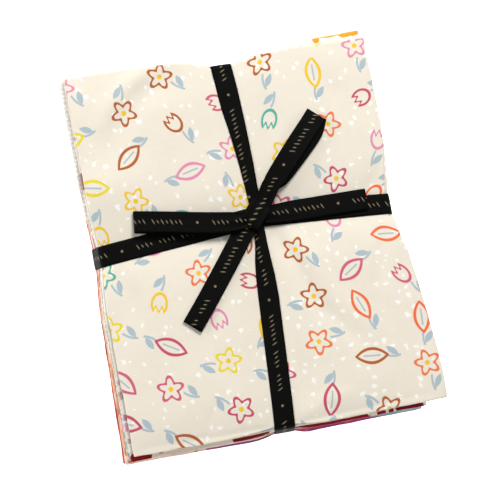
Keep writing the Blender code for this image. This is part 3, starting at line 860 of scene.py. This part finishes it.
def tossed(tree, x, y, pitch, seed, wander):
    """A half-drop repeat with one motif to a cell, each turned its own way and moved off its centre.

    Gives the place seen from the cell's motif, and two numbers from 0 to 1 that are the cell's own.
    """
    names = {"x": x, "y": y, "w": pitch[0], "h": pitch[1], "wander": wander}
    formulas(
        tree,
        names,
        column="floor(x / w)",
        dropped="y / h + 0.5 * mod(column, 2)",
        row="floor(dropped)",
    )
    draws = []
    for number in (seed, seed + 50.0):
        cell = add(tree, "CombineXYZ", names["column"], names["row"], number)
        noise = add(tree, "TexWhiteNoise", cell.outputs[0], noise_dimensions="3D")
        draws += add(tree, "SeparateColor", noise.outputs["Color"]).outputs[:3]
    names["turn"], names["side"], names["lift"], pick, choice, _ = draws
    formulas(
        tree,
        names,
        a="x - (column + 0.5 + wander * (side - 0.5)) * w",
        b="(dropped - row - 0.5 - wander * (lift - 0.5)) * h",
        c="cos(turn * 6.283)",
        s="sin(turn * 6.283)",
        across="a * c + b * s",
        up="b * c - a * s",
    )
    return names["across"], names["up"], pick, choice


def inks(tree, choice, colours):
    """One of several printing inks, chosen by a number from 0 to 1."""
    ramp = add(tree, "ValToRGB", choice)
    ramp.color_ramp.interpolation = "CONSTANT"
    stops = ramp.color_ramp.elements
    while len(stops) < len(colours):
        stops.new(1.0)
    for number, colour in enumerate(colours):
        stops[number].position = number / len(colours)
        stops[number].color = linear(colour)
    return ramp.outputs["Color"]


CREAM = "#EFE6D5"
LEAF_GREY = "#AFC0C8"
POLLEN = "#F5C52A"
GARDEN_INKS = "#EBD62C #F2703F #D3607C #5BB29E #B5602C #E58FB0 #F3C832 #C9506B #F07A4A".split()


def garden_print(tree, x, y):
    """The top cloth: brush-outlined flowers, tulips and leaves, tossed with small white dabs on cream."""
    # Dabs of white 2 to 4 mm long, in loose groups, are the flecks that cover the cream.
    place = add(tree, "CombineXYZ", x, y, 4.0).outputs[0]
    names = {"grain": add(tree, "TexNoise", place, ("Scale", 0.45), ("Detail", 1.0)).outputs["Fac"]}
    names["groups"] = add(tree, "TexNoise", place, ("Scale", 0.045), ("Detail", 0.0)).outputs["Fac"]
    names["across"], names["up"], names["pick"], names["size"] = tossed(tree, x, y, (7.4, 6.6), 9.0, 0.85)
    formulas(
        tree,
        names,
        reach="sqrt(across * across * (1 + 3 * pick) + up * up)",
        depth="0.86 + 1.1 * size - reach + 4.3 * (grain - 0.5)",
        dabs="clamp(0.3 + depth / 0.7) * above(1.9 * groups - 0.56, pick)",
    )
    colour = add(tree, "MixRGB", names["dabs"], linear(CREAM), linear("#FDFAF3")).outputs[0]
    # The large motifs stand 31 by 29 mm apart and are 14 to 19 mm long, drawn with a 1.9 mm brush line. The
    # formulas are for motifs of 1 / 1.12 of their size.
    across, up, pick, tint = tossed(tree, x, y, (31.0, 29.4), 21.0, 0.14)
    motif = formulas(
        tree,
        {"x": across, "y": up, "pick": pick},
        across="x / 1.12",
        up="y / 1.12",
        rise="up - 3.4",
        angle="atan2(across, rise)",
        reach="sqrt(across * across + rise * rise)",
        flower="reach - 5.3 - 1.5 * cos(angle * 5)",
        cup="sqrt(across * across * 1.9 + rise * rise) - 5.6",
        tulip="max(cup, rise - 3.0 - 1.4 * cos(across * 1.9))",
        leaf="abs(across) - 3.9 + rise * rise / 19",
        shape="flower + (tulip - flower) * above(pick, 0.4) + (leaf - tulip) * above(pick, 0.72)",
        outline="clamp(0.5 + (0.85 - abs(shape)) / 0.4)",
        middle="clamp(0.5 + (1.35 - reach - 9 * above(pick, 0.4)) / 0.35)",
        vein="clamp(0.5 + min(0.45 - abs(across), 4.6 - abs(rise)) / 0.35) * above(pick, 0.72)",
        sway="across - 1.0 * sin(up * 0.3 + 1)",
        stem="min(0.6 - abs(sway), 4.4 - abs(up + 8))",
        p="(across - 2.1) * 0.8 - (up + 8.0) * 0.6",
        q="(across - 2.1) * 0.6 + (up + 8.0) * 0.8",
        blade="1.7 - q * q / 9.5 - abs(p)",
        stalk="clamp(0.5 + max(stem, blade) / 0.35)",
    )
    head, leaf, pollen = inks(tree, tint, GARDEN_INKS), linear(LEAF_GREY), linear(POLLEN)
    for part, ink in (("stalk", leaf), ("outline", head), ("vein", leaf), ("middle", pollen)):
        colour = add(tree, "MixRGB", motif[part], colour, ink).outputs[0]
    return colour


# The lower cloths show only at their folds: ground, kind of print, its pitch and size in mm, and its inks.
# The size of patches is the share of bare ground instead.
PRINTS = {
    "blue_grey": ("#C3D1D7", "dots", 7.0, 1.4, ("#F4F0EA", "#8FB5B8")),
    "salmon_red": ("#E0705C", "patches", 34.0, 0.50, ("#A83036", "#EFC0A4")),
    "magenta": ("#B5508A", "petals", 12.0, 3.6, ("#D77FA5", "#6F2F72")),
    "pink": ("#EBA4B0", "dots", 9.0, 2.0, ("#F6D9D6", "#D0506E")),
    "peach": ("#F2CBA8", "petals", 10.0, 3.0, ("#F8E8D8", "#DB9A70")),
    "cream_rings": ("#F5EBD8", "rings", 13.0, 3.6, ("#A8643A", "#D2473C")),
    "orange": ("#F58A63", "dots", 8.0, 1.8, ("#F9D6B8", "#D0553A")),
    "plum": ("#8E5566", "dots", 6.0, 1.1, ("#D9A7B0", "#B4566E")),
    "teal": ("#9CCFC4", "rings", 12.0, 3.2, ("#E8F0E6", "#3E9A90")),
    "crimson_pink": ("#D9708A", "petals", 11.0, 3.4, ("#F2B8C0", "#8C1D3F")),
    "dark_red": ("#FAF0E2", "petals", 15.0, 2.4, ("#C98A5E", "#B0563C")),
    "pale_dots": ("#E9E2D5", "dots", 3.2, 1.0, ("#FFFFFF", "#FFFEFC")),
    "white_patches": ("#FBF6EE", "dots", 9.0, 0.9, ("#E9DCC8", "#FFFEFC")),
}
# Printed patches that meet a folded edge in sight, and two grey ones of painted shade: x and y in plan, half
# their sizes, and the ink.
PATCHES = {
    "magenta": (
        (-72.0, FRONT, 25.0, 10.0, "#F3E6DA"),
        (-26.0, FRONT, 10.0, 9.0, "#8A4A96"),
        (78.0, FRONT, 15.0, 10.0, "#A9BCC6"),
    ),
    "orange": ((82.0, FRONT, 16.0, 9.0, "#C4B4A8"),),
    "peach": (
        (-50.0, FRONT, 45.0, 8.0, "#F6ECE2"),
        (30.0, FRONT, 30.0, 8.0, "#B0568F"),
        (80.0, FRONT, 21.0, 9.0, "#A9BCC6"),
    ),
    "dark_red": (
        (-86.2, FRONT, 6.8, 7.0, "#8C0A12"),
        (-75.3, FRONT + 0.9, 2.4, 2.4, "#9A5F35"),
        (-75.3, FRONT + 0.9, 1.2, 1.3, "#F0C98A"),
        (-19.0, FRONT, 11.5, 12.0, "#8C0A12"),
        (16.6, FRONT, 14.0, 13.0, "#8C0A12"),
        (43.8, FRONT, 10.2, 12.0, "#9C1218"),
        (61.2, FRONT, 2.6, 12.0, "#9C1218"),
        (67.0, FRONT, 1.5, 12.0, "#8C0A12"),
        (78.9, FRONT, 8.5, 13.0, "#8C0A12"),
        (LEFT, -88.5, 9.0, 10.0, "#8C0A12"),
    ),
    "white_patches": (
        (63.0, 118.0, 2.6, 3.6, "#F7A823"),
        (83.0, 120.0, 7.4, 4.0, "#F7A823"),
        (71.5, 118.6, 7.0, 0.9, "#F9B233"),
        (-14.2, 113.0, 1.2, 1.4, "#C9702F"),
        (-30.0, 113.8, 1.0, 1.0, "#8A6A5A"),
        (LEFT, 52.0, 5.0, 5.5, "#B07C7A"),
        # These two grey patches are painted shade along the fold, under the edge of the cloth above.
        (LEFT, 79.0, 5.0, 1.2, "#C8BCB8"),
        (LEFT, -80.0, 6.0, 48.0, "#E2DED2"),
        (LEFT - 0.2, -70.5, 1.4, 1.6, "#C3AFAE"),
        (LEFT - 0.2, -78.0, 1.4, 2.6, "#B59C9C"),
        (LEFT - 0.2, -91.5, 1.4, 1.8, "#B08890"),
        (LEFT - 0.2, -97.0, 1.4, 2.8, "#D59CB6"),
        (LEFT - 0.2, -105.5, 1.4, 1.6, "#B8A3A6"),
        (LEFT - 0.2, -114.0, 1.6, 1.8, "#93BDB0"),
    ),
}


def small_print(tree, x, y, ground, kind, pitch, size, colours):
    """A small tossed print of dots, rings or petals, or large soft-edged patches."""
    if kind == "patches":
        place = add(tree, "CombineXYZ", x, y, size * 40)
        noise = add(tree, "TexNoise", place.outputs[0], ("Scale", 1 / pitch), ("Detail", 1.0))
        drawn = formula(tree, "clamp(0.5 + (value - size) * 40)", value=noise.outputs["Fac"], size=size)
        finer = add(tree, "TexNoise", place.outputs[0], ("Scale", 2.6 / pitch), ("Detail", 0.0))
        choice = finer.outputs["Fac"]
    else:
        across, up, _, choice = tossed(tree, x, y, (pitch, pitch * 0.87), size, 0.35)
        shapes = {
            "dots": "size - sqrt(across * across + up * up)",
            "rings": "0.8 - abs(sqrt(across * across + up * up) - size)",
            "petals": "size * 0.4 - abs(across) - up * up * 0.4 / size",
        }
        drawn = formula(tree, f"clamp(0.5 + ({shapes[kind]}) / 0.3)", across=across, up=up, size=size)
    return add(tree, "MixRGB", drawn, linear(ground), inks(tree, choice, colours)).outputs[0]


def placed_patches(tree, colour, patches):
    """Prints patches with uneven edges over a cloth's colour; a few of them are painted shade."""
    seen = add(tree, "SeparateXYZ", add(tree, "TexCoord").outputs["Object"]).outputs
    names = {way: formula(tree, "a * 1000 - b", a=seen[i], b=STACK_PLACE[i]) for i, way in enumerate("xy")}
    place = add(tree, "CombineXYZ", names["x"], names["y"], 0.0).outputs[0]
    names["grain"] = add(tree, "TexNoise", place, ("Scale", 0.16), ("Detail", 1.0)).outputs["Fac"]
    for *numbers, ink in patches:
        names.update(zip(("x0", "y0", "half_x", "half_y"), numbers))
        formulas(
            tree,
            names,
            a="(x - x0) / half_x",
            b="(y - y0) / half_y",
            patch="clamp(0.5 + (1 - sqrt(a * a + b * b) + grain - 0.5) * 14)",
        )
        colour = add(tree, "MixRGB", names["patch"], colour, linear(ink)).outputs[0]
    return colour


def cotton(name):
    """Quilting cotton: plain weave of spun thread, printed on one face, washed and pressed."""
    material, tree, shader = new_material("quilting_cotton_" + name)
    x, y = flat_place(tree)
    if name in PRINTS:
        ground, printed = PRINTS[name][0], small_print(tree, x, y, *PRINTS[name])
    else:
        ground, printed = CREAM, garden_print(tree, x, y)
    printed = placed_patches(tree, printed, PATCHES.get(name, ()))
    # A third of the ink shows through, so the wrong side is a pale print on unprinted cloth.
    side = add(tree, "Attribute", attribute_name="right_side").outputs["Fac"]
    greige = add(tree, "MixRGB", 0.6, linear(ground), linear("#F4EFE6")).outputs[0]
    strike = formula(tree, "0.35 + 0.65 * side", side=side)
    colour = add(tree, "MixRGB", strike, greige, printed).outputs[0]
    # Spun thread is uneven: slubs run along both thread ways, 1 mm wide and 8 mm long, as fine streaks.
    names = {"x": x, "y": y, "side": side}
    for slub, stretch in (("one", (0.12, 1.1)), ("two", (1.1, 0.12))):
        ways = [formula(tree, "a * b", a=a, b=b) for a, b in zip((x, y), stretch)]
        place = add(tree, "CombineXYZ", *ways).outputs[0]
        names[slub] = add(tree, "TexNoise", place, ("Scale", 1.0), ("Detail", 2.0)).outputs["Fac"]
    # Pressing leaves broad, hardly raised waves, a few centimetres long, that catch the light; the colour
    # carries them too, as painted shade.
    place = add(tree, "CombineXYZ", x, y, 0.0).outputs[0]
    broad = add(tree, "TexNoise", place, ("Scale", 0.035), ("Detail", 3.0), ("Roughness", 0.45))
    names["broad"] = broad.outputs["Fac"]
    # Real thread lies 0.42 mm apart, finer than a pixel here, so the weave is drawn at 0.9 mm.
    formulas(
        tree,
        names,
        shade="0.93 + 0.05 * one + 0.05 * two + 0.05 * broad",
        weave="sin(x * 6.98) * sin(y * 6.98)",
        relief="0.025 * weave + 0.04 * (one + two) + 1.5 * broad",
        dullness="0.92 - 0.06 * side",
    )
    # The slubs are the thread's own tone; the broad waves in this multiply are painted shade.
    colour = add(tree, "MixRGB", 1.0, colour, names["shade"], blend_type="MULTIPLY").outputs[0]
    bump = add(tree, "Bump", ("Height", names["relief"]), ("Distance", MM), ("Strength", 0.6)).outputs[0]
    # Matt, with a light fuzz of fibre ends at a grazing look; the printed face is a little smoother.
    fill(tree, shader, ("Base Color", colour), ("Normal", bump), ("Roughness", names["dullness"]))
    fill(tree, shader, ("Specular IOR Level", 0.25), ("Sheen Weight", 0.12), ("Sheen Roughness", 0.5))
    return material


def black_ribbon():
    """Woven black polyester ribbon, half an inch wide, stamped with small marks in dull gold."""
    material, tree, shader = new_material("woven_black_ribbon")
    along, aside = flat_place(tree)
    names = {"along": along, "aside": aside}
    names["side"] = add(tree, "Attribute", attribute_name="right_side").outputs["Fac"]
    # Slanting leaf dashes 2.75 mm apart, each second one shorter, in groups of four, four and seven, and
    # then a dot, every 64 mm.
    formulas(
        tree,
        names,
        place="mod(along + 9, 64)",
        high="aside - 6.35",
        leaf="floor(place / 2.75)",
        short="mod(leaf, 2)",
        offset="place - (leaf + 0.5) * 2.75 + high * 0.5",
        blade="0.38 - abs(offset) - high * high * (0.13 + 0.2 * short)",
        within="above(46.7, place) * above(abs(leaf - 4), 0.5) * above(abs(leaf - 9), 0.5)",
        dot="0.8 - sqrt((place - 55.4) * (place - 55.4) + high * high)",
        marks="clamp(0.5 + max(blade * within - 0.4 * (1 - within), dot) / 0.3) * above(side, 0.5)",
        streak_along="along * 0.08",
        streak_aside="aside * 2.2",
    )
    # Painted sheen: the black is a little greyer in streaks along the ribbon, where the weave's floats catch
    # the light.
    place = add(tree, "CombineXYZ", names["streak_along"], names["streak_aside"]).outputs[0]
    streak = add(tree, "TexNoise", place, ("Scale", 1.0), ("Detail", 2.0)).outputs["Fac"]
    # Painted sheen: the streaks lighten the base colour; below, they also vary its roughness and relief.
    black = add(tree, "MixRGB", streak, linear("#070706"), linear("#0F0E0D")).outputs[0]
    colour = add(tree, "MixRGB", names["marks"], black, linear("#80765F")).outputs[0]
    # Fine ribs run across the ribbon. Real ones lie 0.3 mm apart; they are drawn at 0.8 mm.
    names["streak"] = streak
    formulas(
        tree,
        names,
        edge="clamp((abs(high) - 5.5) * 1.6)",
        rib="sin(along * 7.85)",
        relief="0.02 * rib + 0.05 * edge + 0.05 * streak",
        dullness="0.62 + 0.12 * streak - 0.15 * marks",
    )
    bump = add(tree, "Bump", ("Height", names["relief"]), ("Distance", MM), ("Strength", 0.7)).outputs[0]
    fill(tree, shader, ("Base Color", colour), ("Normal", bump), ("Roughness", names["dullness"]))
    fill(tree, shader, ("Specular IOR Level", 0.05))
    return material


# The stage

CAMERA_PLACE = (-257.172, -202.680, 1483.325)
CAMERA_TURNS = (9.4522, -8.3831, -10.5492)
CAMERA_LENS = 177.27
CAMERA_SENSOR = 36.0
CAMERA_SHIFT = (0.00756, -0.00636)
KEY_PLACE = (0.70, 1.38, 1.72)  # in metres, to the right of the bundle and behind it
KEY_SIZE = 0.9
KEY_POWER = 42.0
FILL_PLACE = (-1.6, 0.45, 0.72)  # lower, to the left of the bundle and behind it
FILL_SIZE = 0.7
FILL_POWER = 9.6
SKY_STRENGTH = 0.34
FLOOR_GLOW = 1.1
FLOOR_ROUGHNESS = 0.9
FLOOR_REACH = 3.0  # in metres
FAR_ENOUGH = 20.0  # where the camera's view ends, in metres


def add_camera():
    data = bpy.data.cameras.new("camera")
    data.lens = CAMERA_LENS
    data.sensor_width = CAMERA_SENSOR
    data.shift_x, data.shift_y = CAMERA_SHIFT
    data.clip_end = FAR_ENOUGH
    camera = add_object("camera", data)
    camera.location = ((np.array(CAMERA_PLACE) + STACK_PLACE) * MM).tolist()
    camera.rotation_euler = [math.radians(t) for t in CAMERA_TURNS]
    bpy.context.scene.camera = camera


def add_soft_light(name, place, size, power):
    """A round soft box turned towards the bundle."""
    data = bpy.data.lights.new(name, "AREA")
    data.shape = "DISK"
    data.size = size
    data.energy = power
    light = add_object(name, data)
    light.location = place
    light.rotation_euler = (-Vector(place)).to_track_quat("-Z", "Y").to_euler()


def add_floor():
    """A white acrylic table, lit from below, so that it stays white beside the bundle."""
    mesh = bpy.data.meshes.new("floor")
    corners = [(x * FLOOR_REACH, y * FLOOR_REACH, 0) for x, y in ((-1, -1), (1, -1), (1, 1), (-1, 1))]
    mesh.from_pydata(corners, [], [(0, 1, 2, 3)])
    material, tree, shader = new_material("white_acrylic")
    fill(tree, shader, ("Base Color", linear("#FDFDFD")), ("Roughness", FLOOR_ROUGHNESS))
    fill(tree, shader, ("Emission Color", linear("#FFFFFF")), ("Emission Strength", FLOOR_GLOW))
    mesh.materials.append(material)
    add_object("floor", mesh)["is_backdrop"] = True


def light_world():
    world = bpy.data.worlds.new("studio")
    world.use_nodes = True
    tree = world.node_tree
    fill(tree, tree.nodes["Background"], ("Color", linear("#FFFFFF")), ("Strength", SKY_STRENGTH))
    bpy.context.scene.world = world
    bpy.context.scene.view_settings.view_transform = "Standard"


def dress(piece, node):
    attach(piece, "root")
    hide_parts(node)


def main():
    add_camera()
    light_world()
    add_soft_light("key", KEY_PLACE, KEY_SIZE, KEY_POWER)
    add_soft_light("fill", FILL_PLACE, FILL_SIZE, FILL_POWER)
    add_floor()
    for number, row in enumerate(PIECES):
        piece = dict(zip(PIECE_COLUMNS, row))
        node = f"fat_quarter_{number + 1:02d}"
        cloth = fat_quarter(f"{node}_cloth", piece, number, cotton(piece["cloth"]))
        dress(cloth, node)
    ribbon = black_ribbon()
    pieces = {
        "ribbon_lengthwise": lengthwise_ribbon(ribbon),
        "ribbon_cross": cross_ribbon(ribbon),
        "bow_knot": knot(ribbon),
        "bow_loop_left": loop("bow_loop_left_ribbon", LEFT_LOOP_ANGLE, LEFT_LOOP, ribbon),
        "bow_loop_right": loop("bow_loop_right_ribbon", RIGHT_LOOP_ANGLE, RIGHT_LOOP, ribbon),
        "bow_tail_lower": tail("bow_tail_lower_ribbon", LOWER_TAIL_ANGLE, LOWER_TAIL, ribbon),
        "bow_tail_right": tail("bow_tail_right_ribbon", RIGHT_TAIL_ANGLE, RIGHT_TAIL, ribbon),
    }
    for node, piece in pieces.items():
        dress(piece, node)


main()
boxes = {"cad": CAD_BOX, "visual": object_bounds()}
{key: [list(corner) for corner in box] for key, box in boxes.items()}
